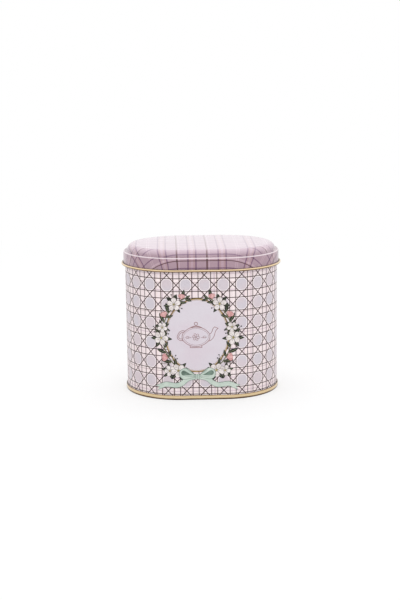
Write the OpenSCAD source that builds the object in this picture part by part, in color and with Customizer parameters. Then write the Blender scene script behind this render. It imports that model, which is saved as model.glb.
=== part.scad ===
// Oval tea caddy of printed tinplate: a rolled body with a double-seamed base,
// an inner plug lid with a riveted knob, and a domed slip lid with a rolled rim.
// Millimetres, +Z up, +Y to the back. The origin is under the middle of the caddy,
// on the surface that it stands on.

/* [Body] */
// Outside width of the body, end to end
body_w = 118; // [100:1:140]
// Outside depth of the body, front to back; its ends are half circles of this diameter
body_d = 85; // [70:1:95]
// Height of the body, from the table to the top of its mouth
body_h = 108.6; // [80:0.2:140]
// Thickness of the tinplate
plate = 0.28; // [0.22:0.01:0.32]
// Outside diameter of the inward curl round the mouth
mouth_curl_d = 2; // [1.6:0.1:2.4]

/* [Base] */
// Height of the double seam that joins the base to the body
seam_h = 3.5; // [2.8:0.1:4.2]
// Gap between neighbouring layers of plate in the double seam
seam_play = 0.02; // [0.01:0.01:0.04]
// Bend radius, at mid plate, of the two corners that the caddy stands on
foot_r = 0.42; // [0.36:0.02:0.46]
// Height of the base panel's underside above the table
base_recess = 3.2; // [2.4:0.1:4]
// Bend radius, at mid plate, between the base panel and its upright wall
base_bend_r = 0.8; // [0.5:0.1:1.2]
// Distance from that bend to the stiffening step in the base panel
step_inset = 6; // [4:0.5:12]
// Bend radius, at mid plate, of the stiffening step
step_r = 1.5; // [0.8:0.1:2.5]
// Slope of the stiffening step, in degrees
step_angle = 35; // [20:1:45]

/* [Side seam] */
// Width of the folded lock seam inside the back wall
side_seam_w = 5; // [4:0.5:7]
// Height at which the lock seam starts, above the base panel
side_seam_start = 5; // [4.8:0.1:8]
// Distance that the lock seam stops below the mouth
side_seam_stop = 9; // [8.5:0.5:14]

/* [Lid] */
// Clearance between the body and the lid's skirt
lid_fit = 1; // [0.2:0.1:1.4]
// Height of the lid's skirt, from its lowest edge to its shoulder
skirt_h = 10.7; // [8:0.1:16]
// Outside diameter of the outward curl round the lid's edge
lid_curl_d = 1.9; // [1.6:0.1:2.6]
// How far each curl is rolled round, in degrees
curl_turn = 300; // [270:5:320]
// Bend radius, at mid plate, of the lid's shoulder
shoulder_r = 1.1; // [0.8:0.1:1.4]
// Width of the flat ledge between the shoulder and the dome
ledge_w = 1.3; // [0.6:0.1:2]
// Bend radius, at mid plate, where the ledge turns up into the dome
valley_r = 0.7; // [0.5:0.1:1]
// Length of the dome's straight side
dome_side = 1; // [0.5:0.1:3]
// Inward lean of the dome's side, in degrees
dome_lean = 8; // [2:1:20]
// Bend radius, at mid plate, from the dome's side to its top
dome_r = 4.3; // [2:0.1:8]
// Radius of the gentle crown across the dome's top
crown_r = 1200; // [600:50:3000]

/* [Inner lid] */
// Gap between the mouth's curl and the inner lid's flange
seat_gap = 0.05; // [0.02:0.01:0.1]
// Distance of the flange's edge inside the body's outer face
flange_inset = 0.9; // [0.8:0.1:1.1]
// Clearance between the mouth's curl and the plug
plug_fit = 0.15; // [0.05:0.05:0.3]
// Depth of the plug's panel below its flange
plug_depth = 6; // [4:0.5:7]
// Bend radius, at mid plate, from the flange to the plug's wall
flange_bend_r = 0.5; // [0.4:0.1:0.8]
// Bend radius, at mid plate, from the plug's wall to its panel
pan_bend_r = 1; // [0.6:0.1:2]

/* [Knob] */
// Diameter of the knob's head
knob_d = 14; // [10:0.5:18]
// Height of the knob above the inner lid's panel
knob_h = 5.4; // [4.6:0.1:5.6]
// Diameter of the knob's neck
knob_neck_d = 7; // [6:0.5:9]
// Height of the knob's neck, up to its head
knob_neck_h = 2.6; // [2:0.1:3]
// Diameter of the rivet's shank
rivet_d = 3; // [2:0.1:4]
// Diameter of the rivet's head, under the inner lid
rivet_head_d = 6; // [5:0.2:8]
// Height of the rivet's head
rivet_head_h = 0.8; // [0.5:0.1:1.2]
// Length of shank inside the knob
rivet_grip = 3; // [2:0.1:3.4]
// Clearance round the rivet's shank
rivet_fit = 0.03; // [0.01:0.01:0.06]

/* [Hidden] */
$fn = 96;
bend_step = 10;              // largest turn between two points of a bend, in degrees
straight = body_w - body_d;  // length of the flat front and back
end_r = body_d / 2;          // outside radius of the half-round ends
pitch = plate + seam_play;   // from one layer of the double seam to the next
wall_x = end_r - plate / 2;  // mid plate of the body's wall
up = [0, 1];                 // ways that a sheet's section can set out
inward = [-1, 0];
down = [0, -1];

// Heights of the layers folded into the double seam
body_turn_z = plate + seam_play + pitch + plate / 2; // centre of the body's U-turn
base_turn_z = seam_h - pitch - plate / 2;            // centre of the base's U-turn
body_hook_top = base_turn_z - plate / 2;
base_hook_end = body_turn_z + plate;

// Heights of the stack at the mouth, each at the underside of its plate
flange_z = body_h + seat_gap;
ledge_z = flange_z + plate;
pan_z = flange_z - plug_depth;
skirt_z = ledge_z + plate - skirt_h;

mouth_curl_r = (mouth_curl_d - plate) / 2;
lid_curl_r = (lid_curl_d - plate) / 2;
skirt_x = end_r + lid_fit + plate / 2;
plug_x = end_r - mouth_curl_d - plug_fit - plate / 2;

// Slope at which the dome's top bend meets the crown, so that the crown is level at the middle
dome_side_top = skirt_x - shoulder_r - ledge_w - valley_r * cos(dome_lean) - dome_side * sin(dome_lean);
crown_slope = asin((dome_side_top - dome_r * cos(dome_lean)) / (crown_r - dome_r));

// Where a sheet runs, as [point, heading] at mid plate. A move is [straight run, bend radius,
// turn in degrees], and a positive turn goes to the left.
function heading_of(way) = atan2(way[1], way[0]);
function left_of(heading) = [-sin(heading), cos(heading)];
function walk(moves, point, heading, i = 0) =
    i == len(moves) ? [] :
    let (
        run = moves[i][0],
        radius = moves[i][1],
        turn = moves[i][2],
        bend_start = point + run * [cos(heading), sin(heading)],
        side = sign(turn) * radius,
        centre = bend_start + side * left_of(heading),
        steps = ceil(abs(turn) / bend_step),
        bend = [for (k = [1:1:steps]) let (h = heading + turn * k / steps) [centre - side * left_of(h), h]],
        last = steps > 0 ? bend[steps - 1] : [bend_start, heading]
    )
    concat(run > 0 ? [[bend_start, heading]] : [], bend, walk(moves, last[0], last[1], i + 1));

// Section of a sheet that starts at a point and follows its moves; x is never behind the axis
module sheet_section(start, heading, moves) {
    stations = concat([[start, heading]], walk(moves, start, heading));
    side = [for (s = [1, -1]) [for (q = stations) q[0] + s * plate / 2 * left_of(q[1])]];
    outline = concat(side[0], [for (k = [len(stations) - 1:-1:0]) side[1][k]]);
    polygon([for (p = outline) [max(0, p[0]), p[1]]]);
}

// Carries a section round the caddy's plan: two half-round ends and two straight sides.
// The section's x is the distance from the line between the two end centres.
module round_the_caddy() {
    for (half = [0, 180]) rotate(half) {
        translate([straight / 2, 0, 0]) rotate(-90) rotate_extrude(angle = 180) children();
        rotate([90, 0, 90]) linear_extrude(height = straight, center = true) children();
    }
}

// Printed wall: body hook at the foot, upright wall, inward curl at the mouth, and the lock
// seam's extra layers folded flat inside the back
module body_shell() color("lavenderblush") {
    round_the_caddy() sheet_section([wall_x + 2 * pitch, body_hook_top], heading_of(down), [
        [body_hook_top - body_turn_z, pitch, -180],
        [body_h - mouth_curl_d / 2 - body_turn_z, mouth_curl_r, curl_turn]
    ]);
    lock_layers = 3;
    translate([-side_seam_w / 2, end_r - plate - lock_layers * plate, side_seam_start])
        cube([side_seam_w, (lock_layers + 0.5) * plate, body_h - side_seam_stop - side_seam_start]);
}

// Gold-lacquered base: hook inside the body's hook, seam wall, foot, upright wall, recessed
// panel with a stiffening step
module base_panel() color("goldenrod") {
    seam_foot_z = foot_r + plate / 2;
    panel_x = wall_x - pitch - base_bend_r;
    round_the_caddy() sheet_section([wall_x + pitch, base_hook_end], heading_of(up), [
        [base_turn_z - base_hook_end, pitch, -180],
        [base_turn_z - seam_foot_z, foot_r, -90],
        [4 * pitch - 2 * foot_r, foot_r, -90],
        [base_recess + plate / 2 - base_bend_r - seam_foot_z, base_bend_r, 90],
        [step_inset, step_r, -step_angle],
        [0, step_r, step_angle],
        [panel_x - step_inset - 2 * step_r * sin(step_angle), 0, 0]
    ]);
}

// Inner lid: flange on the mouth's curl, plug wall inside it, sunk panel with the rivet's hole
module inner_lid() color("gold") difference() {
    flange_edge = [end_r - flange_inset, flange_z + plate / 2];
    round_the_caddy() sheet_section(flange_edge, heading_of(inward), [
        [end_r - flange_inset - plug_x - flange_bend_r, flange_bend_r, 90],
        [plug_depth - flange_bend_r - pan_bend_r, pan_bend_r, -90],
        [plug_x - pan_bend_r, 0, 0]
    ]);
    translate([0, 0, pan_z - plate]) cylinder(d = rivet_d + 2 * rivet_fit, h = 3 * plate);
}

// Turned knob with a foot, a neck and a rounded head, bored for the rivet
module inner_lid_knob() color("darkgoldenrod") {
    foot_h = 0.7;
    foot_d = knob_neck_d + 1.6;
    head_h = knob_h - knob_neck_h;
    edge_r = head_h / 2;
    bore_spare = 0.2;
    translate([0, 0, pan_z + plate]) difference() {
        union() {
            cylinder(d = foot_d, h = foot_h);
            cylinder(d = knob_neck_d, h = knob_h - edge_r);
            translate([0, 0, knob_neck_h]) cylinder(d = knob_d - head_h, h = head_h);
            translate([0, 0, knob_neck_h + edge_r])
                rotate_extrude() translate([knob_d / 2 - edge_r, 0]) circle(r = edge_r);
        }
        translate([0, 0, -plate]) cylinder(d = rivet_d + 2 * rivet_fit, h = rivet_grip + bore_spare + plate);
    }
}

// Rivet: flat head under the panel, shank up through it into the knob
module knob_rivet() color("peru") {
    translate([0, 0, pan_z - rivet_head_h]) cylinder(d = rivet_head_d, h = rivet_head_h);
    translate([0, 0, pan_z - rivet_head_h / 2])
        cylinder(d = rivet_d, h = rivet_head_h / 2 + plate + rivet_grip);
}

// Slip lid drawn from one sheet: outward curl, skirt, shoulder, ledge, domed top
module lid_shell() color("thistle") {
    curl_centre = [skirt_x + lid_curl_r, skirt_z + lid_curl_d / 2];
    curl_heading = heading_of(up) + curl_turn;
    round_the_caddy() sheet_section(curl_centre + lid_curl_r * left_of(curl_heading), curl_heading, [
        [0, lid_curl_r, -curl_turn],
        [ledge_z + plate / 2 - shoulder_r - curl_centre[1], shoulder_r, 90],
        [ledge_w, valley_r, -(90 - dome_lean)],
        [dome_side, dome_r, 90 - dome_lean - crown_slope],
        [0, crown_r, crown_slope]
    ]);
}

body_shell();
base_panel();
inner_lid();
inner_lid_knob();
knob_rivet();
lid_shell();
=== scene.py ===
# %% [markdown]
# # An oval tea caddy of printed tin
#
# The real caddy is four sheets of tinplate: a wall rolled from a printed sheet, a base joined to it
# by a double seam, a lid drawn from one printed sheet, and a plug lid inside. Only the knob and its
# rivet are solid metal. So nearly every shape here is one idea used again: draw the section of a
# folded sheet, then carry it round the caddy's plan. What makes the caddy pretty is its print, and
# that is made of two patterns, a woven cane and a plaid, and a wreath drawn on top.
#
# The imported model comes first. It is the frame that every piece has to fit.

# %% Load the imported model
from math import asin, atan2, ceil, copysign, cos, degrees, hypot, pi, radians, sin

import bmesh
import bpy
from mathutils import Matrix, Vector


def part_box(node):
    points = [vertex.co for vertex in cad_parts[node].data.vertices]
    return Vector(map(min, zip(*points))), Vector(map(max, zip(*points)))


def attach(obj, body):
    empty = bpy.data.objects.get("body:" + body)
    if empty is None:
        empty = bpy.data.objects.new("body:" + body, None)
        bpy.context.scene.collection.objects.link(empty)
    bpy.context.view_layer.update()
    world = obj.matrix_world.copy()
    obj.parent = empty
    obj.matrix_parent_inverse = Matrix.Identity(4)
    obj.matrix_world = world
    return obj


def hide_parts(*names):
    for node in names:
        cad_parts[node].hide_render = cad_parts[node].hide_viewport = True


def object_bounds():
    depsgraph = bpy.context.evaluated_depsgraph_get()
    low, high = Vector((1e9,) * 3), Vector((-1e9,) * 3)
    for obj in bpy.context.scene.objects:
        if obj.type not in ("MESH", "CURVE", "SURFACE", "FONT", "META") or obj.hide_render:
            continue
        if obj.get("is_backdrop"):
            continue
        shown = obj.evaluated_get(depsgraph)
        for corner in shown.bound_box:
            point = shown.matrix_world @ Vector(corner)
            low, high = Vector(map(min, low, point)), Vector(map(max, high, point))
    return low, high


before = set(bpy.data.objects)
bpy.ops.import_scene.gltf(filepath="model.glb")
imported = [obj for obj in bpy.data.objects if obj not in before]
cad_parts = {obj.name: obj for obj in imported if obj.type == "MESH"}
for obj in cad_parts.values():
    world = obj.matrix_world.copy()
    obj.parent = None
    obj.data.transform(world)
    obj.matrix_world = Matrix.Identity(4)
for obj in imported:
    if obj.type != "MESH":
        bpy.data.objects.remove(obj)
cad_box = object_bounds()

mm = 0.001


def in_mm(*lengths):
    """Lengths in millimetres, rounded to be printed."""
    return [round(length / mm, 2) for length in lengths]


# %% [markdown]
# ## Sizes
#
# The plan of the caddy is a stadium: a flat front and back between two half-round ends. Its three
# sizes could be typed in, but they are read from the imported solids, so that the pieces follow if the
# model changes. A stadium is longer than it is deep by exactly its straight length, and the wall
# lies three layers of plate inside the double seam.

# %% Plan and heights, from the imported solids
plate = 0.28 * mm
layer = 0.3 * mm
layers_outside = 3
_, base_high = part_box("base_panel")
body_low, body_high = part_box("body_shell")
pan_low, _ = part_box("inner_lid")
knob_low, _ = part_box("inner_lid_knob")
rivet_low, rivet_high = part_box("knob_rivet")
lid_low, lid_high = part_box("lid_shell")
half_straight = round((lid_high.x - lid_high.y) / mm, 1) * mm
wall_radius = base_high.y - layers_outside * layer
half_round = 2 * half_straight + pi * wall_radius
seam_top = 3.5 * mm
mouth_top = body_high.z
print("straight side and end radius", in_mm(2 * half_straight, wall_radius), "mm")
print("mouth, lid's edge and lid's top", in_mm(mouth_top, lid_low.z, lid_high.z), "mm")

# %% [markdown]
# ## Camera
#
# A product shot is taken from far away with a long lens, a little above the object. The camera could
# be pointed with a Track To constraint, but its turn, tilt and lean are known angles, so its three
# axes are worked out from them and put straight into its matrix.

# %% Place the camera
view_turn = 0.028
view_tilt = 0.2
view_lean = 0.011
view_distance = 0.92836
aim = Vector((0, 0, 0.055))
aim_right = 0.001128
aim_up = 0.013251
lens_mm = 70.85
film_mm = 36
nearest_seen = 0.01


def build_camera():
    """Makes the scene's camera from its turn round the caddy, its tilt down and its lean."""
    right = Vector((1, 0, 0))
    up = Vector((0, sin(view_tilt), cos(view_tilt)))
    away = Vector((0, cos(view_tilt), -sin(view_tilt)))
    stand = -view_distance * away + aim_up * up - aim_right * right
    leaning = Matrix.Rotation(view_lean, 3, away)
    axes = Matrix((leaning @ right, leaning @ up, -away)).transposed().to_4x4()
    unturn = Matrix.Rotation(-view_turn, 4, "Z")
    camera = bpy.data.objects.new("camera", bpy.data.cameras.new("camera"))
    camera.matrix_world = Matrix.Translation(aim) @ unturn @ Matrix.Translation(stand) @ axes
    camera.data.lens = lens_mm
    camera.data.sensor_width = film_mm
    camera.data.clip_start = nearest_seen
    bpy.context.scene.collection.objects.link(camera)
    bpy.context.scene.camera = camera
    return camera


camera = build_camera()
print("camera at", [round(v, 4) for v in camera.matrix_world.translation])

# %% [markdown]
# ## Drawing a line of runs and bends
#
# A tinsmith thinks of a folded edge as runs and bends: straight up, round by 300 degrees. Typing the
# points of such a line would hide that. Here a line starts as one vertex, a straight run extrudes
# its tip, and a bend spins the tip about the bend's centre. A turn to the left is positive, and a
# bend of no radius is a sharp corner. The shift draws a parallel line to the left of the moves,
# which gives the two faces of a sheet. A nib carries a short edge along instead of a vertex, as a
# broad pen does, and leaves a ribbon.

# %% Follow moves of (straight run, bend radius, turn in degrees)
bend_step = 7.5


def way(facing):
    """The unit vector of a heading in the XZ plane, where 0 is +X and 90 degrees is +Z."""
    return Vector((cos(facing), 0, sin(facing)))


def left_of(facing):
    """The unit vector to the left of a heading."""
    return way(facing + pi / 2)


def follow(bm, start, heading, moves, shift=0.0, nib=0.0):
    """Draws a line of edges in the XZ plane, or a ribbon of faces with a nib; returns its vertices."""
    facing = radians(heading)
    spot = Vector((start[0], 0, start[1]))
    asides = (nib / 2, -nib / 2) if nib else (shift,)
    tip = [bm.verts.new(spot + aside * left_of(facing)) for aside in asides]
    line = tip[:1]
    if nib:
        tip.append(bm.edges.new(tip))

    def carry(centre, angle, travel):
        """Carries the tip one step and keeps its vertex."""
        tip[:] = bmesh.ops.spin(bm, geom=tip, cent=centre, axis=(0, -1, 0), dvec=travel, angle=angle,
                                steps=1)["geom_last"]
        line.append(next(item for item in tip if isinstance(item, bmesh.types.BMVert)))

    for run, radius, turn in moves:
        if run > 0:
            carry(spot, 0, run * way(facing))
            spot += run * way(facing)
        toward = copysign(radius, turn)
        centre = spot + toward * left_of(facing)
        steps = ceil(abs(turn) / bend_step) if radius else 0
        for _ in range(steps):
            carry(centre, radians(turn) / steps, (0, 0, 0))
        facing += radians(turn)
        spot = centre - toward * left_of(facing)
    return line


trial = bmesh.new()
half_turn = follow(trial, (0, 0), 0, [(0, 10 * mm, 180)])
print("a half turn of 10 mm radius has", len(half_turn), "vertices")
trial.free()

# %% [markdown]
# ## Carrying a section round the plan
#
# The sheet's two faces are drawn as two lines, closed by one edge where the sheet ends. Solidify
# could give the thickness instead, but then the printed face and the lacquered face would be hard
# to tell apart later. Two numbers ride on every vertex: which face it is on, and how far along that
# face it lies. Spin copies them to all that it makes. The section is then spun half a turn about
# each end's centre, and spun by no angle at all, only stepped sideways, along each straight side.

# %% Sweep a folded sheet
end_steps = 64
side_steps = 16
join_distance = 0.002 * mm
crease = radians(35)
PRINTED, LACQUERED = -1, 1


def carry_round(bm):
    """Carries everything in the mesh once round the caddy's plan and closes it."""
    last = bm.verts[:] + bm.edges[:]
    for end in (1, -1):
        last = bmesh.ops.spin(bm, geom=last, cent=(end * half_straight, 0, 0), axis=(0, 0, 1), angle=pi,
                              steps=end_steps, dvec=(0, 0, 0))["geom_last"]
        stride = Vector((-end * 2 * half_straight / side_steps, 0, 0))
        last = bmesh.ops.spin(bm, geom=last, cent=(0, 0, 0), axis=(0, 0, 1), angle=0,
                              steps=side_steps, dvec=stride)["geom_last"]
    bmesh.ops.remove_doubles(bm, verts=bm.verts, dist=join_distance)
    bmesh.ops.recalc_face_normals(bm, faces=bm.faces)


def folded_sheet(start, heading, moves):
    """A sheet that follows moves at mid plate from a start (distance from the end centre, height)."""
    bm = bmesh.new()
    face = bm.verts.layers.float.new("face")
    along = bm.verts.layers.float.new("along")
    ends = []
    for side in (PRINTED, LACQUERED):
        line = follow(bm, start, heading, moves, side * plate / 2)
        for here, there in zip(line, line[1:]):
            there[along] = here[along] + (there.co - here.co).length
        for vert in line:
            vert[face] = side
            vert.co.x = max(vert.co.x, 0)
        ends.append((line[0], line[-1]))
    for tip in zip(*ends):
        if tip[0].co.x > plate:
            bmesh.ops.contextual_create(bm, geom=tip)
    turn = Matrix.Rotation(-pi / 2, 4, "Z")
    bmesh.ops.transform(bm, matrix=Matrix.Translation((half_straight, 0, 0)) @ turn, verts=bm.verts)
    carry_round(bm)
    return bm


def finish_piece(bm, name, *materials):
    """Turns a mesh in the making into a smooth object with its materials."""
    mesh = bpy.data.meshes.new(name)
    bm.to_mesh(mesh)
    bm.free()
    mesh.shade_smooth()
    mesh.set_sharp_from_angle(angle=crease)
    for material in materials:
        mesh.materials.append(material)
    piece = bpy.data.objects.new(name, mesh)
    bpy.context.scene.collection.objects.link(piece)
    print(name, len(mesh.vertices), "vertices,", len(mesh.polygons), "faces")
    return piece


print("a sheet goes round in", 2 * (end_steps + side_steps), "steps")

# %% [markdown]
# ## Moves of the four sheets
#
# The wall starts with its hook inside the double seam, turns up, and ends in an inward curl. The
# base starts with its own hook, folds over the wall's hook, makes the two corners that the caddy
# stands on, and crosses under the tea. The lid starts inside its outward curl. Each list can be
# read with a finger on a real tin.

# %% Sections of the four sheets
body_turn_z = 2 * layer + plate
base_turn_z = seam_top - layer - plate / 2
foot_bend = 0.42 * mm
foot_z = foot_bend + plate / 2
base_recess = 3.2 * mm
base_bend = 0.8 * mm
step_inset, step_bend, step_turn = 6 * mm, 1.5 * mm, 35
mouth_curl = 2 * mm
mouth_bend = (mouth_curl - plate) / 2
mouth_margin = 4 * mm
curl_turn = 300
wall_mid = wall_radius - plate / 2
wall_run = mouth_top - mouth_curl / 2 - body_turn_z
wall_start = (wall_mid + 2 * layer, base_turn_z - plate / 2)
wall_moves = [
    (base_turn_z - plate / 2 - body_turn_z, layer, -180),
    (wall_run - mouth_margin, 0, 0),
    (mouth_margin, mouth_bend, curl_turn),
]
base_start = (wall_mid + layer, body_turn_z + plate)
base_moves = [
    (base_turn_z - body_turn_z - plate, layer, -180),
    (base_turn_z - foot_z, foot_bend, -90),
    (4 * layer - 2 * foot_bend, foot_bend, -90),
    (base_recess + plate / 2 - base_bend - foot_z, base_bend, 90),
    (step_inset, step_bend, -step_turn),
    (0, step_bend, step_turn),
    (wall_mid - layer - base_bend - step_inset - 2 * step_bend * sin(radians(step_turn)), 0, 0),
]
print("the wall's rise and the base's run", in_mm(wall_run, base_moves[-1][0]), "mm")

# %% Sections of the lid and the inner lid
lid_curl, lid_fit, skirt_high = 1.9 * mm, 1 * mm, 10.7 * mm
lid_bend = (lid_curl - plate) / 2
skirt_mid = wall_radius + lid_fit + plate / 2
shoulder_bend, ledge_run, valley_bend = 1.1 * mm, 1.3 * mm, 0.7 * mm
dome_run, dome_lean, dome_bend, crown_bend = 1 * mm, 8, 4.3 * mm, 1200 * mm
ledge_top = lid_low.z + skirt_high
curl_centre = Vector((skirt_mid + lid_bend, 0, lid_low.z + lid_curl / 2))
lean_cos, lean_sin = cos(radians(dome_lean)), sin(radians(dome_lean))
dome_side_top = skirt_mid - shoulder_bend - ledge_run - valley_bend * lean_cos - dome_run * lean_sin
crown_slope = degrees(asin((dome_side_top - dome_bend * lean_cos) / (crown_bend - dome_bend)))
lid_heading = 90 + curl_turn
lid_tip = curl_centre + lid_bend * left_of(radians(lid_heading))
lid_start = (lid_tip.x, lid_tip.z)
lid_moves = [
    (0, lid_bend, -curl_turn),
    (ledge_top - plate / 2 - shoulder_bend - curl_centre.z, shoulder_bend, 90),
    (ledge_run, valley_bend, -(90 - dome_lean)),
    (dome_run, dome_bend, 90 - dome_lean - crown_slope),
    (0, crown_bend, crown_slope),
]
seat_gap, flange_inset, plug_fit = 0.05 * mm, 0.9 * mm, 0.15 * mm
flange_mid = mouth_top + seat_gap + plate / 2
flange_edge = wall_radius - flange_inset
plug_mid = wall_radius - mouth_curl - plug_fit - plate / 2
plug_drop = flange_mid - plate / 2 - pan_low.z
flange_bend, pan_bend = 0.5 * mm, 1 * mm
pan_moves = [
    (flange_edge - plug_mid - flange_bend, flange_bend, 90),
    (plug_drop - flange_bend - pan_bend, pan_bend, -90),
    (plug_mid - pan_bend, 0, 0),
]
print("the plug is", in_mm(plug_drop), "mm deep")

# %% [markdown]
# ## Sums in a material
#
# A print that repeats is arithmetic: how far is this spot from the nearest line, and is that less
# than half a line's width? Each step of such a sum is one Math node, and a wall of calls that make
# nodes hides the idea. So a small class stands for a number that changes over the surface. A plus
# or a minus written with it places the Math node and joins it.

# %% Place nodes, and write sums as sums
def feed(socket, value):
    """Joins an input to another socket, or sets it to a plain value."""
    value = getattr(value, "socket", value)
    if isinstance(value, bpy.types.NodeSocket):
        socket.id_data.links.new(value, socket)
    else:
        socket.default_value = value


def place(tree, kind, inputs=(), **settings):
    """Adds a shader node, with its settings and its inputs by name or number."""
    node = tree.nodes.new("ShaderNode" + kind)
    for name, value in settings.items():
        setattr(node, name, value)
    for name, value in dict(inputs).items():
        feed(node.inputs[name], value)
    return node


def on_piece(tree):
    """Where a point lies on its piece, in metres."""
    return place(tree, "TexCoord").outputs["Object"]


class Amount:
    """A number that changes over the surface."""

    def __init__(self, socket):
        self.socket = socket

    def math(self, operation, *others):
        """One Math node with this number first."""
        inputs = enumerate((self, *others))
        return Amount(place(self.socket.id_data, "Math", inputs, operation=operation).outputs[0])

    def __add__(self, other):
        return self.math("ADD", other)

    def __sub__(self, other):
        return self.math("SUBTRACT", other)

    def __mul__(self, other):
        return self.math("MULTIPLY", other)

    def __truediv__(self, other):
        return self.math("DIVIDE", other)

    def __abs__(self):
        return self.math("ABSOLUTE")

    def __pow__(self, other):
        return self.math("POWER", other)

    def under(self, edge, softness):
        """1 where this number is below the edge and 0 above it, with a soft change between."""
        inputs = {0: self, 1: edge - softness, 2: edge + softness, 3: 1, 4: 0}
        node = place(self.socket.id_data, "MapRange", inputs, interpolation_type="SMOOTHSTEP")
        return Amount(node.outputs[0])


def ink(*levels):
    """A colour in levels from 0 to 255, as a picture has them, in the light that a shader counts in."""
    light = []
    for share in [level / 255 for level in levels]:
        light.append(share / 12.92 if share <= 0.04045 else ((share + 0.055) / 1.055) ** 2.4)
    return (*light, 1)


def lay(tree, mask, below, above, blend_type="MIX"):
    """One colour laid over another through a mask."""
    inputs = {0: mask, 6: below, 7: above}
    return place(tree, "Mix", inputs, data_type="RGBA", blend_type=blend_type).outputs[2]


def spaced(values):
    """The same values under the names of sockets, which have a space where a word here has a line."""
    return {name.replace("_", " "): value for name, value in values.items()}


def floats(**defaults):
    """The inputs of a group that are plain numbers."""
    return {name: ("Float", default) for name, default in spaced(defaults).items()}


def new_group(name, inputs, outputs):
    """A shader node group; returns its tree, its inputs as amounts, and the sockets it puts out."""
    tree = bpy.data.node_groups.new(name, "ShaderNodeTree")
    for label, (kind, default) in inputs.items():
        socket = tree.interface.new_socket(label, in_out="INPUT", socket_type="NodeSocket" + kind)
        socket.default_value = default
    for label, kind in outputs.items():
        tree.interface.new_socket(label, in_out="OUTPUT", socket_type="NodeSocket" + kind)
    given = {socket.name: Amount(socket) for socket in tree.nodes.new("NodeGroupInput").outputs}
    return tree, given, tree.nodes.new("NodeGroupOutput").inputs


print("a middle grey on paper is", ink(128, 128, 128))

# %% [markdown]
# ## The plaid
#
# A plaid is one order of coloured threads along and the same kind of order across. Where they
# cross, the two colours multiply, which is what a printer's clear inks do too. So each direction
# gets a colour ramp with hard steps, a band for each stripe, that repeats by wrapping the distance.
# Every second pair of the strong stripes is plum and the others are pale, so those are laid on
# with their own, four times longer, repeat.

# %% Shader group: plaid
plaid_repeat = 22.6
stripe_width, stripe_softness, weft_share = 1.15, 0.08, 0.55
plum_repeat = 4 * plaid_repeat
plain_thread = ink(231, 226, 230)
beige_thread = ink(233, 221, 218)
pale_thread = ink(246, 242, 245)
violet_thread = ink(164, 136, 168)
plum_thread = ink(124, 54, 66)
white_thread = ink(255, 255, 255)
warp_bands = [
    (0.35, white_thread), (1.0, plain_thread), (0.6, white_thread), (5.9, plain_thread), (1.1, violet_thread),
    (1.4, beige_thread), (2, pale_thread), (1.4, beige_thread), (1.1, violet_thread), (7.4, plain_thread),
    (0.35, white_thread),
]
weft_bands = [
    (0.9, plain_thread), (1.3, white_thread), (3.9, plain_thread), (0.9, violet_thread), (9.5, plain_thread),
    (0.9, violet_thread), (5.2, plain_thread),
]


def thread_bands(tree, distance, bands):
    """The colour of each band in turn, repeated for ever."""
    spot = distance.math("WRAP", plaid_repeat, 0) / plaid_repeat
    ramp = place(tree, "ValToRGB", {0: spot})
    ramp.color_ramp.interpolation = "CONSTANT"
    stops = ramp.color_ramp.elements
    stops.remove(stops[1])
    reach = 0
    for width, colour in bands:
        stop = stops[0] if reach == 0 else stops.new(reach / plaid_repeat)
        stop.color = colour
        reach += width
    return ramp.outputs[0]


def plum_stripe(distance, repeat, width):
    """A mask of one strong stripe at distance 0 of every repeat."""
    return abs(distance.math("WRAP", repeat / 2, -repeat / 2)).under(width / 2, stripe_softness)


plaid, given, put_out = new_group(
    "plaid",
    {**floats(Across=0, Up=0), "Ground": ("Color", white_thread)},
    {"Color": "Color"},
)
across, up = given["Across"], given["Up"]
warp = thread_bands(plaid, across, warp_bands)
weft = thread_bands(plaid, up, weft_bands)
cloth = lay(plaid, 1, lay(plaid, 1, given["Ground"], warp, "MULTIPLY"), weft, "MULTIPLY")
for distance, repeat, width in (
    (across, plum_repeat, stripe_width),
    (across + plaid_repeat, plum_repeat, stripe_width),
    (up, plaid_repeat, stripe_width * weft_share),
):
    cloth = lay(plaid, plum_stripe(distance, repeat, width), cloth, plum_thread, "MULTIPLY")
feed(put_out["Color"], cloth)
for name, bands in (("warp", warp_bands), ("weft", weft_bands)):
    print(name, "adds up to", round(sum(width for width, _ in bands), 2), "of", plaid_repeat, "mm")

# %% [markdown]
# ## The woven cane
#
# Caned chair seats are woven with strands in three directions: pairs across, pairs up, and one
# strand along each diagonal, which leaves an eight-sided hole. The print is a line drawing of that.
# Ping-pong folds the surface like paper, so that one quarter of one hole stands for all. In the
# folded sheet the hole is a rounded square at the corner, the pairs are two straight lines, and the
# diagonals are one slanted line. A halo round each hole keeps the lines from touching it.

# %% Shader group: woven cane
cane_across, cane_up = 14.1, 14.86
pair_across, pair_up = 0.335 * cane_across, 0.33 * cane_up
hole_across, hole_up, hole_power = 3.95, 4.25, 2.5
hole_softness, halo_reach = 0.03, 1.1
strand_line, slanted_line, line_softness = 0.29, 0.32, 0.04
cane, given, put_out = new_group(
    "woven cane",
    floats(Across=0, Up=0),
    {"Line": "Float", "Hole": "Float", "Halo": "Float"},
)
fold_across = given["Across"].math("PINGPONG", cane_across / 2)
fold_up = given["Up"].math("PINGPONG", cane_up / 2)
pairs = abs(fold_across - pair_across).math("MINIMUM", abs(fold_up - pair_up))
slant = fold_across / cane_across + fold_up / cane_up - 0.5
slant_length = 1 / hypot(1 / cane_across, 1 / cane_up)
powers = (fold_across / hole_across) ** hole_power + (fold_up / hole_up) ** hole_power
hole_reach = powers ** (1 / hole_power)
hole = hole_reach.under(1, hole_softness)
halo = hole_reach.under(halo_reach, hole_softness)
slanted = abs(slant * slant_length).under(slanted_line, line_softness)
line = pairs.under(strand_line, line_softness).math("MAXIMUM", slanted)
feed(put_out["Hole"], hole)
feed(put_out["Halo"], halo - hole)
feed(put_out["Line"], line * (halo * -1 + 1))
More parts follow.
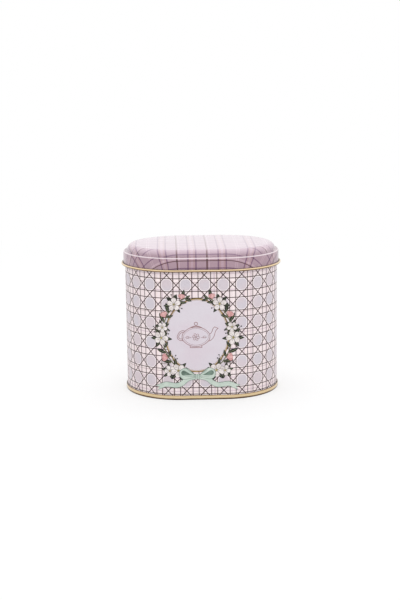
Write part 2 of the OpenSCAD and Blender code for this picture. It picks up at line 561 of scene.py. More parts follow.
print("the cane repeats every", cane_across, "by", cane_up, "mm")

# %% [markdown]
# ## Varnish and metal grain
#
# A printed tin is roller coated, so its varnish has a faint orange peel, and the sheet under it is
# never quite flat. Both change only how light glints, so both belong in roughness and in bump. The
# bare metal has something else: fine streaks from the rolling mill. Two small groups hold these
# effects, and each finish below places them with its own strength.

# %% Shader groups: varnish, and rolled grain
peel_scale, wave_scale, rub_scale, grain_scale = 1400, 45, 110, 900
soft_detail, fine_detail, finest_detail = 1.0, 3.0, 4.0


def noise(tree, vector, scale, detail=2.0):
    """Noise from 0 to 1, at a scale per metre."""
    node = place(tree, "TexNoise", {"Vector": vector, "Scale": scale, "Detail": detail})
    return Amount(node.outputs[0])


varnish, given, put_out = new_group(
    "varnish",
    floats(Roughness=0.35, Spread=0.12, Peel=0.004, Wave=0.02),
    {"Roughness": "Float", "Height": "Float"},
)
place_on_piece = on_piece(varnish)
peel = noise(varnish, place_on_piece, peel_scale)
wave = noise(varnish, place_on_piece, wave_scale, soft_detail)
rubbing_and_sheen = noise(varnish, place_on_piece, rub_scale, finest_detail)
feed(put_out["Roughness"], (rubbing_and_sheen - 0.5) * given["Spread"] + given["Roughness"])
feed(put_out["Height"], peel * given["Peel"] + wave * given["Wave"])

rolled, given, put_out = new_group(
    "rolled grain",
    {"Along": ("Vector", (1, 1, 1)), **floats(Roughness=0.3, Spread=0.15, Depth=0.003)},
    {"Streak": "Float", "Roughness": "Float", "Height": "Float"},
)
place_on_piece = on_piece(rolled)
stretch = {0: place_on_piece, 1: given["Along"]}
stretched = place(rolled, "VectorMath", stretch, operation="MULTIPLY").outputs[0]
streak = noise(rolled, stretched, grain_scale, fine_detail)
feed(put_out["Streak"], streak)
feed(put_out["Roughness"], (streak - 0.5) * given["Spread"] + given["Roughness"])
feed(put_out["Height"], streak * given["Depth"])
print("groups:", sorted(group.name for group in bpy.data.node_groups))

# %% [markdown]
# ## Rims with painted highlight and painted shade
#
# A rim of gold lacquer here isn't one colour. A painted highlight runs along it where its curve
# would catch the light, and painted shade darkens its two edges, where it meets the wall and where
# it turns under. This group reads how high a spot is in the band of the rim, and puts out a mask of
# the painted highlight and one of the painted shade. A noise makes both uneven.

# %% Shader group: rim painted light
# These masks paint a highlight along a rim and shade at its two edges.
unevenness_scale, unevenness_depth, highlight_softness = 160, 0.16, 0.7
painted_shade_foot, painted_shade_foot_softness, painted_shade_top, painted_shade_top_softness = 0.34, 0.16, 0.97, 0.05
rim_painted_light, given, put_out = new_group(
    "rim painted light",
    floats(Low=0, High=1, Polished_At=0.6, Polished_Width=0.16),
    {"Highlight": "Float", "Painted_Shade": "Float"},
)
place_on_piece = on_piece(rim_painted_light)
height_on_piece = Amount(place(rim_painted_light, "SeparateXYZ", {0: place_on_piece}).outputs[2])
uneven = (noise(rim_painted_light, place_on_piece, unevenness_scale, fine_detail) - 0.5) * unevenness_depth
share_up = (height_on_piece - given["Low"]) / (given["High"] - given["Low"]) + uneven
# The painted highlight: a band round one height of the rim.
from_line = abs(share_up - given["Polished At"]) / given["Polished Width"]
feed(put_out["Highlight"], from_line.under(1, highlight_softness))
# The painted shade: at the top of the band, where the rim meets the wall, and at its foot, where it turns
# under.
shade_at_top = (share_up * -1).under(-painted_shade_top, painted_shade_top_softness)
feed(put_out["Painted_Shade"], share_up.under(painted_shade_foot, painted_shade_foot_softness).math("MAXIMUM", shade_at_top))
print("rim painted light has", len(rim_painted_light.nodes), "nodes")

# %% [markdown]
# ## Finishes
#
# A finish is a material: one Principled shader, with what changes over the surface linked in and
# what stays the same set on its own sockets. Every finish gets its relief through one Bump node,
# whose height is in millimetres.

# %% A new finish, and the metals
grain_depth, rim_coat = 0.004, 0.3
# The second rim colour is painted shade for a rim's edges.
dull_gold, painted_shade_gold = ink(182, 150, 114), ink(84, 60, 44)


def new_finish(name, bump=1.0, **plain):
    """A material; returns it, its tree, its shader's inputs and the Height socket of its bump."""
    material = bpy.data.materials.new(name)
    material.use_nodes = True
    tree = material.node_tree
    shader = tree.nodes["Principled BSDF"]
    for label, value in spaced(plain).items():
        shader.inputs[label].default_value = value
    relief = place(tree, "Bump", {"Strength": bump, "Distance": mm})
    tree.links.new(relief.outputs[0], shader.inputs["Normal"])
    return material, tree, shader.inputs, relief.inputs["Height"]


def grouped(tree, group, **inputs):
    """Places a group with its inputs by name and returns its outputs."""
    node = place(tree, "Group", node_tree=group)
    for label, value in spaced(inputs).items():
        feed(node.inputs[label], value)
    return node.outputs


def bare_metal(name, coat):
    """A new finish of metal under so much clear coat."""
    return new_finish(name, Metallic=1.0, Coat_Weight=coat, Coat_Roughness=0.15)


def metal(name, colour, shade, along, roughness, spread, coat=0.0):
    """A metal whose grain runs along one direction and shades its colour a little."""
    material, tree, surface, height = bare_metal(name, coat)
    grain = grouped(tree, rolled, Along=along, Roughness=roughness, Spread=spread, Depth=grain_depth)
    feed(surface["Base Color"], lay(tree, grain["Streak"], colour, shade))
    feed(surface["Roughness"], grain["Roughness"])
    feed(height, grain["Height"])
    return material


def rim_gold(name, low, high, painted_highlight_at, painted_highlight_width, polished):
    """Gold lacquer on a rim between two heights in metres, with painted highlight and shade."""
    material, tree, surface, height = bare_metal(name, rim_coat)
    band = {"Low": low, "High": high}
    rim_light_masks = grouped(tree, rim_painted_light, **band, Polished_At=painted_highlight_at, Polished_Width=painted_highlight_width)
    # Painted highlight along one line, then painted shade at both edges.
    colour = lay(tree, rim_light_masks["Highlight"], dull_gold, polished)
    feed(surface["Base Color"], lay(tree, rim_light_masks["Painted_Shade"], colour, painted_shade_gold))
    grain = grouped(tree, rolled)
    feed(surface["Roughness"], grain["Roughness"])
    feed(height, grain["Height"])
    return material


gold, gold_shade = ink(222, 186, 128), ink(198, 158, 98)
brass, brass_shade = ink(224, 188, 116), ink(200, 160, 92)
rivet_grey, rivet_shade = ink(206, 207, 210), ink(182, 184, 188)
gold_lacquer = metal("gold_on_tin", gold, gold_shade, (0.08, 0.08, 1), roughness=0.3, spread=0.16, coat=0.4)
turned_brass = metal("brass", brass, brass_shade, (0.15, 0.15, 2.5), roughness=0.22, spread=0.14)
aluminium = metal("aluminium_rivet", rivet_grey, rivet_shade, (1, 1, 0.3), roughness=0.34, spread=0.16)
print("metals:", gold_lacquer.name, turned_brass.name, aluminium.name)

# %% [markdown]
# ## The prints
#
# A tin is printed flat, first with a pale ground and then with clear inks. The wall's shirting is
# so faint that a wash of the ground seems to lie over it, and the cane's holes are a cool grey, a
# little cloudy as a thin ink is. The lid's ground is painted paler on the crown, a painted
# reflection of the light overhead, and a painted highlight runs along its shoulder. Both are found
# from the distance to the lid's middle line, so no mask has to be painted. Beside the seam at the
# back a narrow stripe is left bare, so that a print a little out of place doesn't run over the fold.

# %% The printed finishes
print_bump = 0.5
cane_centre, lid_plum = (1.05, 88.6), (3.2, -48.5)
shirting_wash, cloud_scale, cloud_softness = 0.55, 70, 0.15
unprinted_half, unprinted_softness = 0.75, 0.02
groove_half, groove_softness, groove_depth = 0.2, 0.1, 0.15
# The crown's paler ground and its wash over the plaid are a painted reflection of the light overhead.
crown_reach, crown_fade, crown_sheen_share = 40.5, 6.5, 0.4
# A painted highlight: the pale line along the shoulder's bend.
shoulder_reach, shoulder_highlight_half, shoulder_highlight_softness, shoulder_highlight_share = 46.5, 0.5, 0.25, 0.65


def printed(name, **plain):
    """A varnished print; returns also its varnish, and across and up on the flat sheet in mm."""
    material, tree, surface, height = new_finish(name, print_bump, **plain)
    sheet = place(tree, "SeparateXYZ", {0: place(tree, "UVMap", uv_map="print").outputs[0]}).outputs
    coat = grouped(tree, varnish)
    feed(surface["Roughness"], coat["Roughness"])
    return material, tree, surface, height, coat, Amount(sheet[0]), Amount(sheet[1])


wall_print, tree, surface, height, coat, across, up = printed("print_on_wall", Specular_IOR_Level=0.3)
colour = grouped(tree, plaid, Across=across, Up=up, Ground=ink(253, 243, 240))["Color"]
weave = grouped(tree, cane, Across=across - cane_centre[0], Up=up - cane_centre[1])
cloudy = noise(tree, on_piece(tree), cloud_scale, soft_detail).under(0.5, cloud_softness)
past_edge = abs(across) * -1 + half_round / mm
bare_strip = past_edge.under(unprinted_half, unprinted_softness)
for mask, above in (
    (shirting_wash, ink(253, 240, 240)),
    (weave["Halo"], ink(247, 238, 241)),
    (weave["Hole"], lay(tree, cloudy, ink(203, 196, 204), ink(208, 195, 201))),
    (weave["Line"], ink(50, 26, 22)),
    (bare_strip, ink(206, 204, 202)),
):
    colour = lay(tree, mask, colour, above)
feed(surface["Base Color"], colour)
feed(surface["Metallic"], bare_strip)
groove_dip = past_edge.under(groove_half, groove_softness) * groove_depth
feed(height, Amount(coat["Height"]) - groove_dip)

lid_coat = {"Coat_Weight": 0.7, "Coat_Roughness": 0.08}
lid_print, tree, surface, height, coat, across, up = printed("print_on_lid", **lid_coat)
past_straight = (abs(across) - half_straight / mm).math("MAXIMUM", 0)
reach = (past_straight ** 2 + up ** 2) ** 0.5
# Painted reflection: the crown is paler, as if it mirrored the light overhead, and the plaid fades there.
crown = reach.under(crown_reach, crown_fade)
ground = lay(tree, crown, ink(199, 171, 181), ink(238, 219, 229))
shirting = grouped(tree, plaid, Across=across - lid_plum[0], Up=up - lid_plum[1], Ground=ground)["Color"]
# Painted highlight: a pale line along the shoulder's bend.
rubbing_and_sheen = abs(reach - shoulder_reach).under(shoulder_highlight_half, shoulder_highlight_softness) * shoulder_highlight_share
with_crown_sheen = lay(tree, crown * crown_sheen_share, shirting, ink(246, 228, 237))
feed(surface["Base Color"], lay(tree, rubbing_and_sheen, with_crown_sheen, ink(250, 238, 242)))
feed(height, coat["Height"])
print("prints:", wall_print.name, lid_print.name)

# %% [markdown]
# ## Laying the print on the sheets
#
# The plates are printed flat and formed afterwards, so the print belongs on a map of the flat
# sheet, in millimetres. The wall is only rolled: its map is the distance round the caddy and the
# height, and the sheet ends at the seam in the middle of the back. The lid is drawn from a flat
# oval blank: a point keeps its distance from the middle line, measured along the metal. That is why
# the plaid's lines lean and cross at the lid's corners. A second map, between 0 and 1, gives every
# face its own place for a texture painter.

# %% Maps of the flat sheets
outside_share = 0.44
inside_share = 1 - 2 * outside_share
gap = 0.005


def round_distance(spot, sign):
    """The distance round the wall from the front's middle, negative to the left, in mm."""
    past = abs(spot.x) - half_straight
    if past > 0:
        return copysign(half_straight + wall_radius * atan2(past, -spot.y), spot.x) / mm
    return (spot.x if spot.y < 0 else sign * half_round - spot.x) / mm


def flat_spot(spot, reach):
    """Where a point of the lid lies on its flat blank, in metres."""
    middle = Vector((max(-half_straight, min(half_straight, spot.x)), 0))
    return middle + reach * (spot.xy - middle).normalized()


def sheet_layers(bm):
    """A sheet's numbers, its face and how far along, and two new maps, the print's and the painter's."""
    numbers, maps = bm.verts.layers.float, bm.loops.layers.uv
    return numbers["face"], numbers["along"], maps.new("print"), maps.new("OFBake")


def is_printed_side(polygon, face):
    """True where a polygon lies wholly on the printed face of the sheet."""
    return all(vert[face] == PRINTED for vert in polygon.verts)


def finish_rim(bm, number, low, high, least_radius):
    """Gives faces between two heights, outside a radius, their own material."""
    for polygon in bm.faces:
        centre = polygon.calc_center_median()
        past = max(abs(centre.x) - half_straight, 0)
        if low < centre.z < high and hypot(past, centre.y) > least_radius:
            polygon.material_index = number


def map_wall(bm, printed_from, printed_to):
    """Maps the wall and gives its second material to what isn't printed."""
    face, along, print_map, painter_map = sheet_layers(bm)
    whole = max(vert[along] for vert in bm.verts)
    for polygon in bm.faces:
        outside = is_printed_side(polygon, face)
        centre = polygon.calc_center_median()
        sign = copysign(1, centre.x)
        polygon.material_index = 0 if outside and printed_from < centre.z < printed_to else 1
        for loop in polygon.loops:
            distance = round_distance(loop.vert.co, sign)
            share = loop.vert[along] / whole * (1 - 2 * gap)
            loop[print_map].uv = (distance, loop.vert.co.z / mm)
            turn = distance * mm / half_round
            if outside:
                floor_of_strip = gap + (outside_share if sign > 0 else 0)
                loop[painter_map].uv = (abs(turn), floor_of_strip + outside_share * share)
            else:
                loop[painter_map].uv = ((turn + 1) / 2, 2 * outside_share + gap + inside_share * share)


def map_lid(bm):
    """Maps the lid on its flat blank and gives its second material to the inside."""
    face, along, print_map, painter_map = sheet_layers(bm)
    lengths = {}
    for side in (PRINTED, LACQUERED):
        lengths[side] = max(vert[along] for vert in bm.verts if vert[face] == side)
    whole = max(lengths.values())
    size = 2 * (half_straight + whole)
    depth = 2 * whole / size
    for polygon in bm.faces:
        outside = is_printed_side(polygon, face)
        polygon.material_index = 0 if outside else 1
        for loop in polygon.loops:
            flat = flat_spot(loop.vert.co, lengths[loop.vert[face]] - loop.vert[along])
            loop[print_map].uv = flat / mm
            share = flat.y / (2 * whole) + 0.5
            rise = share * depth if outside else depth + gap + share * (1 - depth - 2 * gap)
            loop[painter_map].uv = (flat.x / size + 0.5, rise)
    print("the lid's blank is", in_mm(size, 2 * whole), "mm")


print("half the way round the wall is", in_mm(half_round), "mm")

# %% [markdown]
# ## The four sheets
#
# Now each sheet is one line: fold it, carry it round, map it, finish it. The wall's printing plate
# stops a little short of the curl at the mouth, where the gold lacquer of the inside comes over.

# %% Make the wall, the base, the lid and the inner lid
def in_place(piece, body, node):
    """The piece rides on its body and stands for its solid, which is hidden."""
    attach(piece, body)
    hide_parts(node)
    return piece


wall = folded_sheet(wall_start, -90, wall_moves)
map_wall(wall, body_low.z + plate, mouth_top - mouth_curl / 2 - mouth_margin)
in_place(finish_piece(wall, "wall", wall_print, gold_lacquer), "body", "body_shell")

# The seam's gold gets a painted highlight along one line and painted shade at its edges.
seam_line = {"painted_highlight_at": 0.6, "painted_highlight_width": 0.3, "polished": ink(228, 204, 162)}
seam_gold = rim_gold("gold_on_seam", 0, seam_top, **seam_line)
base = folded_sheet(base_start, 90, base_moves)
finish_rim(base, 1, -plate, seam_top + plate, wall_radius)
in_place(finish_piece(base, "base", gold_lacquer, seam_gold), "body", "base_panel")

lid = folded_sheet(lid_start, lid_heading, lid_moves)
map_lid(lid)
# The curl's gold gets a painted highlight near its top and painted shade at its edges.
curl_line = {"painted_highlight_at": 0.75, "painted_highlight_width": 0.16, "polished": ink(252, 228, 184)}
curl_top = lid_low.z + lid_curl
curl_gold = rim_gold("gold_on_curl", lid_low.z, curl_top, **curl_line)
finish_rim(lid, 2, lid_low.z - plate, curl_top, skirt_mid + plate / 2)
in_place(finish_piece(lid, "lid", lid_print, gold_lacquer, curl_gold), "lid", "lid_shell")

pan = folded_sheet((flange_edge, flange_mid), 180, pan_moves)
in_place(finish_piece(pan, "plug_lid", gold_lacquer), "inner_lid", "inner_lid")

# %% [markdown]
# ## The seam inside, the knob and the rivet
#
# The wall's two edges are hooked into each other and pressed flat, so behind the unprinted stripe a
# band four layers thick runs up the inside. Its section is drawn once, with the step where the last
# fold ends, and extruded upwards. The knob and the rivet are turned, so each is half a section spun
# once round its axis. The knob's underside is bored for the rivet, and its top has a turned groove.

# %% Make the side seam
def pen(bm, start, heading, moves, nib=0.0):
    """Follows moves that are given in millimetres."""
    spot = (start[0] * mm, start[1] * mm)
    return follow(bm, spot, heading, [(run * mm, bend * mm, turn) for run, bend, turn in moves], nib=nib * mm)


def close_up(bm, line):
    """Fills a closed line with one face."""
    bmesh.ops.remove_doubles(bm, verts=line, dist=join_distance)
    line = [vert for vert in line if vert.is_valid]
    return bmesh.ops.contextual_create(bm, geom=line)["faces"]


def raise_faces(bm, faces):
    """Extrudes faces, keeps them as the underside, and returns the vertices of the new top."""
    made = bmesh.ops.extrude_face_region(bm, geom=faces, use_keep_orig=True)["geom"]
    return [item for item in made if isinstance(item, bmesh.types.BMVert)]


above_foot, below_mouth = 5 * mm, 9 * mm
side_seam_low, side_seam_high = above_foot, mouth_top - below_mouth
side_seam_width, side_seam_layers, seam_bend, seam_step = 5, 3, 0.12, 0.9
fold = plate / mm
seam_sides = (
    (side_seam_width, 90), (side_seam_layers * fold, 90), (side_seam_width - seam_step, 90),
    (fold, -90), (seam_step, 90), ((side_seam_layers - 1) * fold, 90),
)
seam_moves = [(length - 2 * seam_bend, seam_bend, turn) for length, turn in seam_sides]
side_seam = bmesh.new()
section = close_up(side_seam, pen(side_seam, (seam_bend - side_seam_width / 2, 0), 0, seam_moves))
raised = raise_faces(side_seam, section)
bmesh.ops.translate(side_seam, verts=raised, vec=(0, side_seam_high - side_seam_low, 0))
bmesh.ops.rotate(side_seam, verts=side_seam.verts, cent=(0, 0, 0), matrix=Matrix.Rotation(pi / 2, 3, "X"))
bmesh.ops.translate(side_seam, verts=side_seam.verts, vec=(0, wall_radius - plate, side_seam_low))
bmesh.ops.recalc_face_normals(side_seam, faces=side_seam.faces)
print("the side seam goes up from", in_mm(side_seam_low), "to", in_mm(side_seam_high), "mm")
in_place(finish_piece(side_seam, "side_seam", gold_lacquer), "body", "body_shell")

# %% Turn the knob and the rivet
turning_steps = 96


def turned(start, heading, moves):
    """A solid turned about the Z axis from half its section in millimetres."""
    bm = bmesh.new()
    line = pen(bm, start, heading, moves)
    for vert in line:
        vert.co.x = max(vert.co.x, 0)
    bmesh.ops.spin(bm, geom=bm.verts[:] + bm.edges[:], cent=(0, 0, 0), axis=(0, 0, 1), angle=2 * pi,
                   steps=turning_steps, use_merge=True, dvec=(0, 0, 0))
    bmesh.ops.remove_doubles(bm, verts=bm.verts, dist=join_distance)
    bmesh.ops.recalc_face_normals(bm, faces=bm.faces)
    return bm


bore, bore_depth = 1.53, 3.2
foot, foot_high, neck, neck_high, head, head_bend = 4.3, 0.7, 3.5, 2.6, 7, 1.4
edge, neck_bend = 0.2, 0.6
ring_at, groove, groove_bend = 0.7, 0.22, 0.05
knob = turned((0, knob_low.z / mm + bore_depth), 0, [
    (bore, 0, -90), (bore_depth, 0, 90), (foot - bore - edge, edge, 90), (foot_high - 2 * edge, edge, 90),
    (foot - (edge + neck_bend) - neck, neck_bend, -90),
    (neck_high - foot_high - 2 * neck_bend, neck_bend, -90),
    (head - head_bend - neck - neck_bend, head_bend, 180), (ring_at, 0, 45), (groove, groove_bend, -90),
    (groove, 0, 45), (head - head_bend - ring_at - 2 * groove * cos(radians(45)), 0, 0),
])
in_place(finish_piece(knob, "knob", turned_brass), "inner_lid", "inner_lid_knob")

rivet_head, rivet_head_high, rivet_bend, shank = 3, 0.8, 0.5, 1.5
shank_high = (rivet_high.z - rivet_low.z) / mm - rivet_head_high
rivet = turned((0, rivet_low.z / mm), 0, [
    (rivet_head - rivet_bend, rivet_bend, 90), (rivet_head_high - rivet_bend, 0, 90),
    (rivet_head - shank, 0, -90), (shank_high - edge, edge, 90), (shank - edge, 0, 0),
])
in_place(finish_piece(rivet, "rivet", aluminium), "inner_lid", "knob_rivet")

# %% [markdown]
# ## Inks for the wreath
#
# The wreath is printed in opaque inks on top of the cane. Each ink is one finish: a colour and a
# deeper shade of it, mixed by a soft noise so that it looks washed on by a brush, under the same
# varnish as the rest of the wall.

# %% Make the inks
brush_softness = 0.2


def opaque(name, colour, shade, scale=420, gold=0.0):
    """A brushed ink between two shades, given in levels; the scale is that of the brush."""
    plain = {"Metallic": gold, "Specular_IOR_Level": 0.3}
    material, tree, surface, height = new_finish("ink_" + name, print_bump, **plain)
    coat = grouped(tree, varnish)
    brush = noise(tree, on_piece(tree), scale, fine_detail).under(0.5, brush_softness)
    feed(surface["Base Color"], lay(tree, brush, ink(*colour), ink(*shade)))
    feed(surface["Roughness"], coat["Roughness"])
    feed(height, coat["Height"])
    return material


recipes = {
    "lilac": ((212, 205, 213), (211, 200, 209), 60),
    "gold": ((176, 148, 92), (132, 104, 58), 300, 0.3),
    "stem": ((96, 88, 56), (62, 58, 40)),
    "leaf": ((50, 56, 36), (26, 32, 22)),
    "deep_leaf": ((36, 42, 34), (20, 24, 20)),
    "vein": ((150, 158, 120), (112, 122, 90)),
    "petal": ((236, 229, 227), (206, 197, 194), 500),
    "petal_line": ((122, 112, 112), (88, 80, 80)),
    "centre": ((170, 158, 104), (110, 100, 62)),
    "bud": ((222, 178, 176), (200, 146, 146), 500),
    "bud_line": ((160, 98, 100), (136, 78, 82)),
    "mint": ((198, 210, 200), (180, 196, 185), 180),
    "mint_fold": ((118, 138, 126), (80, 98, 88), 180),
    "rose": ((158, 118, 118), (134, 94, 96)),
}
inks = {name: opaque(name, *recipe) for name, recipe in recipes.items()}
print(len(inks), "inks")

# %% [markdown]
# ## Drawing flat, then wrapping
#
# It is easiest to draw on a flat table. So every motif is drawn in the XZ plane, about the middle
# of the wreath, out of the same runs and bends as the metal. A fill closes a line into a face, and
# a stroke carries a nib along a line. Each motif is a small mesh of its own, because an
# operator takes longer the more its mesh holds. A motif lies a hair above the one before, as wet
# ink on dry, so that no two tops share a plane. At the end each one is thickened down to the wall,
# cut into narrow strips where the wall is round, bent over it, and joined to the rest.

# %% Fills and strokes
ink_step, ink_floor = 0.005, 0.005
ink_names = list(inks)


class Drawing:
    """Flat motifs in millimetres that stack up in the order they are drawn, and start again after a cycle."""

    def __init__(self, lift, cycle=100):
        self.motifs = []
        self.lift = lift
        self.cycle = cycle

    def lay_down(self, bm, faces, colour):
        """Lifts a new motif above the last and gives it its ink."""
        lift = self.lift + len(self.motifs) % self.cycle * ink_step
        bmesh.ops.translate(bm, verts=bm.verts, vec=(0, -lift * mm, 0))
        for face in faces:
            face.material_index = ink_names.index(colour)
        self.motifs.append(bm)

    def fill(self, colour, start, heading, moves):
        """A filled shape inside a closed line."""
        bm = bmesh.new()
        self.lay_down(bm, close_up(bm, pen(bm, start, heading, moves)), colour)

    def stroke(self, colour, width, start, heading, moves):
        """A ribbon of one width along a line."""
        bm = bmesh.new()
        pen(bm, start, heading, moves, width)
        self.lay_down(bm, bm.faces, colour)

    def outlined(self, colour, line_colour, width, start, heading, moves):
        """A filled shape with a drawn edge."""
        self.fill(colour, start, heading, moves)
        self.stroke(line_colour, width, start, heading, moves)


trial = Drawing(0)
trial.outlined("petal", "petal_line", 0.2, (0, 0), 0, [(3, 1, 180), (3, 1, 180)])
print("an outlined shape is", len(trial.motifs), "motifs of", [len(bm.faces) for bm in trial.motifs], "faces")
for bm in trial.motifs:
    bm.free()

# %% Wrap drawings on the wall
strip_width, strips = 1.2 * mm, 40


def whole(bm):
    """All of a mesh, as operators take it."""
    return bm.verts[:] + bm.edges[:] + bm.faces[:]


def wrap(bm):
    """Cuts a flat mesh where the wall is round, and bends it over the wall."""
    low, high = min(vert.co.x for vert in bm.verts), max(vert.co.x for vert in bm.verts)
    for strip in range(-strips, strips + 1):
        cut = copysign(half_straight, strip) + strip * strip_width
        if low < cut < high:
            bmesh.ops.bisect_plane(bm, geom=whole(bm), plane_co=(cut, 0, 0), plane_no=(1, 0, 0),
                                   dist=join_distance)
    for vert in bm.verts:
        straight_part = copysign(min(abs(vert.co.x), half_straight), vert.co.x)
        turn = (vert.co.x - straight_part) / wall_radius
        out = wall_radius - vert.co.y
        vert.co = (straight_part + out * sin(turn), -out * cos(turn), vert.co.z)


def put_on_wall(name, middle, drawings, mirrored=False):
    """Thickens, wraps and joins drawings, and makes them one piece of the body."""
    joined = bmesh.new()
    scrap = bpy.data.meshes.new("scrap")
    for bm in [motif for drawing in drawings for motif in drawing.motifs]:
        if mirrored:
            bmesh.ops.mirror(bm, geom=whole(bm), axis="X", merge_dist=0)
        bmesh.ops.translate(bm, verts=bm.verts, vec=(middle[0] * mm, 0, middle[1] * mm))
        for vert in raise_faces(bm, bm.faces[:]):
            vert.co.y = -ink_floor * mm
        bmesh.ops.recalc_face_normals(bm, faces=bm.faces)
        wrap(bm)
        bm.to_mesh(scrap)
        joined.from_mesh(scrap)
        bm.free()
    bpy.data.meshes.remove(scrap)
    piece = finish_piece(joined, name, *inks.values())
    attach(piece, "body")
    return piece


def oval(half_width, half_height, side_bend, share=4):
    """Start and moves of a four-centred oval, or of its right half, from the bottom."""
    beside, above = half_width - side_bend, half_height - side_bend
    end_bend = (beside ** 2 + half_height ** 2 - side_bend ** 2) / (2 * above)
    end_turn = degrees(atan2(abs(beside), abs(end_bend - half_height)))
    half = [(0, end_bend, end_turn), (0, side_bend, 180 - 2 * end_turn), (0, end_bend, end_turn)]
    return (0, -half_height), half * (share // 2)


print("a teapot's belly:", [[round(n, 2) for n in move] for move in oval(9, 6.5, 4.5)[1]])

# %% [markdown]
# ## The label and its border
#
# The label is a plain lilac oval drawn with four arcs, the old draughtsman's way, because four arcs
# join smoothly and can be offset exactly. Its border is a gold line with a thin dark one beside it.

# %% Draw the label
wreath_middle = (-4.8, 50)
label_width, label_height, label_bend = 24, 28, 30
label = Drawing(0.02)
start, moves = oval(label_width, label_height, label_bend)
label.fill("lilac", start, 0, moves)
border = ((0, 0.9, "gold"), (0.5, 0.22, "deep_leaf"), (-0.9, 0.2, "gold"))
for outset, width, colour in border:
    start, moves = oval(label_width + outset, label_height + outset, label_bend + outset)
    label.stroke(colour, width, start, 0, moves)
put_on_wall("label", wreath_middle, [label])

# %% [markdown]
# ## A teapot in a few lines
#
# In the middle stands a line drawing of a teapot. Its belly is another four-centred oval. Spout,
# handle, lid and foot are single strokes, each a few runs and bends long, so each can be changed
# without touching the others. A stroke's first number is its width, as a share of the full line.

# %% Draw the teapot
line, thin_share, light_share = 0.42, 0.6, 0.5
belly_width, belly_height, belly_bend, belly_inset = 10.5, 7.6, 5.2, 1.1
flower_reach, flower_z, flower_dot = 1.1, -0.2, 0.6
pot_strokes = {
    "spout, under": (1, (9, -3.6), 10, [(0, 6, 65), (2.5, 5, -45)]),
    "spout, over": (1, (10.2, 1.9), 25, [(0, 3.6, 48), (1.3, 3.5, -43)]),
    "spout's lip": (1, (13.8, 7.5), -24, [(3.2, 0, 0)]),
    "handle, outside": (1, (-8.6, 4.6), 160, [(0, 3.6, 80), (1.6, 2.9, 120), (1.4, 0, 0)]),
    "handle, inside": (1, (-9.2, 3.3), 160, [(0, 2.4, 80), (1.4, 1.7, 120), (1.2, 0, 0)]),
    "lid": (1, (-5, 6.5), 38, [(0, 8.1, -76)]),
    "lid's edge": (thin_share, (-5.8, 6.15), 24, [(0, 14.2, -48)]),
    "lid's knob": (1, (0, 8.8), 0, [(0, 1.2, 360)]),
    "foot": (1, (-4.2, -6.8), -105, [(1.2, 0.3, 105), (8.3, 0.3, 105), (1.2, 0, 0)]),
}
leaf_strokes = (
    (3.6, -0.4, -20, (0.6, 5, 50)),
    (5.2, -0.4, 65, (0, 1.5, -100)),
    (5.4, -0.5, -50, (0, 1.5, 100)),
)
teapot = Drawing(0.04)
for inset, share in ((0, 1), (belly_inset, light_share)):
    start, moves = oval(belly_width - inset, belly_height - inset, belly_bend - inset)
    teapot.stroke("rose", line * share, start, 0, moves)
for share, start, heading, moves in pot_strokes.values():
    teapot.stroke("rose", line * share, start, heading, moves)
for turn in range(0, 360, 60):
    petal_start = (flower_reach * cos(radians(turn)), flower_reach * sin(radians(turn)) + flower_z)
    teapot.stroke("rose", line * thin_share, petal_start, turn + 50, [(0.3, 0.8, -280), (0.3, 0, 0)])
teapot.fill("rose", (0, flower_z - flower_dot), 0, [(0, flower_dot, 360)])
for side, facing in ((1, 0), (-1, 180)):
    for ahead, rise, lean, (run, bend, turn) in leaf_strokes:
        start = (side * ahead, rise)
        teapot.stroke("rose", line * light_share, start, facing + side * lean, [(run, bend, side * turn)])
put_on_wall("teapot", (wreath_middle[0] - 0.8, wreath_middle[1] - 1), [teapot])
print("the teapot has", len(teapot.motifs), "motifs")

# %% [markdown]
# ## Leaves, blossoms and buds
#
# A leaf is two arcs that meet in points at both ends. A second fill darkens the half that is turned
# away from the light, and one pale stroke is its vein. A petal is two runs that leave the flower's
# middle and lie against one round bend. Five of them make a blossom, and three make a bud.

# %% Motifs of the wreath
leaf_spread, petal_spread, bud_spread, fifth = 37, 34, 26, 72
crease_line, petal_edge, thin_line, fold_line, ribbon_edge = 0.14, 0.16, 0.2, 0.22, 0.24
vein_share, sepal_share, side_berry_share, notch_share = 0.8, 0.9, 0.75, 0.75
crease_from, crease_share, middle_share, stamen_at, stamen_share = 0.2, 0.35, 0.17, 0.26, 0.05
berry = 0.48


def turned_spot(start, heading, ahead, aside=0):
    """A point some way ahead and to the left of another, in millimetres."""
    step = ahead * way(radians(heading)) + aside * left_of(radians(heading))
    return start[0] + step.x, start[1] + step.z


def leaf(drawing, start, heading, length, side):
    """A pointed leaf with a dark half and a vein."""
    bend = length / (2 * sin(radians(leaf_spread)))
    both = (0, bend, -2 * leaf_spread)
    drawing.fill("leaf", start, heading + leaf_spread, [both, (0, 0, 2 * leaf_spread - 180), both])
    half = [(0, bend, side * 2 * leaf_spread), (0, 0, side * (180 - leaf_spread)), (length, 0, 0)]
    drawing.fill("deep_leaf", start, heading - side * leaf_spread, half)
    drawing.stroke("vein", thin_line, start, heading, [(length * vein_share, 0, 0)])


def petal_moves(reach, half_angle):
    """Moves round a petal that starts and ends at its root."""
    bend = reach / (1 + 1 / sin(radians(half_angle)))
    run = bend / sin(radians(half_angle)) * cos(radians(half_angle))
    return [(run, bend, -180 - 2 * half_angle), (run, 0, 0)]


def dot(drawing, colour, middle, size):
    """A round dot."""
    drawing.fill(colour, (middle[0], middle[1] - size), 0, [(0, size, 360)])


